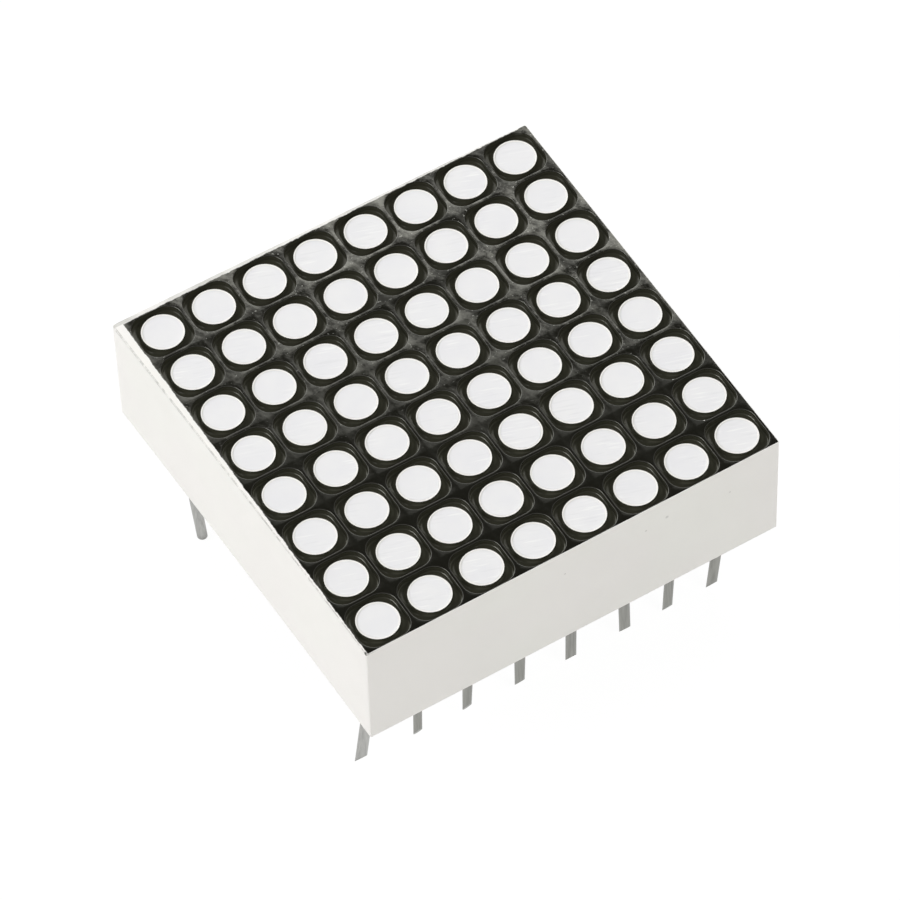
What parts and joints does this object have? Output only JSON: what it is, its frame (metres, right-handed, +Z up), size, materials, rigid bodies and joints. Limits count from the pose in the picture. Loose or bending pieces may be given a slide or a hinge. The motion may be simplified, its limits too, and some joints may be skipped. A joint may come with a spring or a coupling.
{
  "type": "led dot matrix",
  "caption": "Square dot matrix display: round dots in a black face, white moulded housing, and two rows of wire pins below.",
  "frame": {"origin": "under the middle of the housing, on the plane that the pin tips stand on", "axes": "+X along the front edge, +Y to the back, +Z up through the face"},
  "size_m": [0.02, 0.02, 0.0121],
  "materials": {
    "white_housing": "moulded white thermoplastic, satin, with a black coat on its face and in its moats",
    "milky_resin": "milky diffusing epoxy, satin top",
    "board_laminate": "glass-fibre laminate under a green mask",
    "copper": "copper foil",
    "die": "semiconductor die",
    "gold_wire": "fine bond wire",
    "tinned_wire": "dull tin over copper-clad steel wire, drawn marks along it",
    "solder": "tin solder, bright"
  },
  "bodies": {
    "root": {"bond_pads": "copper", "bond_wires_row_1": "gold_wire", "bond_wires_row_2": "gold_wire", "bond_wires_row_3": "gold_wire", "bond_wires_row_4": "gold_wire", "bond_wires_row_5": "gold_wire", "bond_wires_row_6": "gold_wire", "bond_wires_row_7": "gold_wire", "bond_wires_row_8": "gold_wire", "circuit_board": "board_laminate", "column_tracks": "copper", "led_dice_row_1": "die", "led_dice_row_2": "die", "led_dice_row_3": "die", "led_dice_row_4": "die", "led_dice_row_5": "die", "led_dice_row_6": "die", "led_dice_row_7": "die", "led_dice_row_8": "die", "pin_1": "tinned_wire", "pin_2": "tinned_wire", "pin_3": "tinned_wire", "pin_4": "tinned_wire", "pin_5": "tinned_wire", "pin_6": "tinned_wire", "pin_7": "tinned_wire", "pin_8": "tinned_wire", "pin_9": "tinned_wire", "pin_10": "tinned_wire", "pin_11": "tinned_wire", "pin_12": "tinned_wire", "pin_13": "tinned_wire", "pin_14": "tinned_wire", "pin_15": "tinned_wire", "pin_16": "tinned_wire", "reflector_housing": "white_housing", "resin_fill": "milky_resin", "row_tracks": "copper", "solder_joints_back": "solder", "solder_joints_front": "solder"}
  },
  "joints": []
}
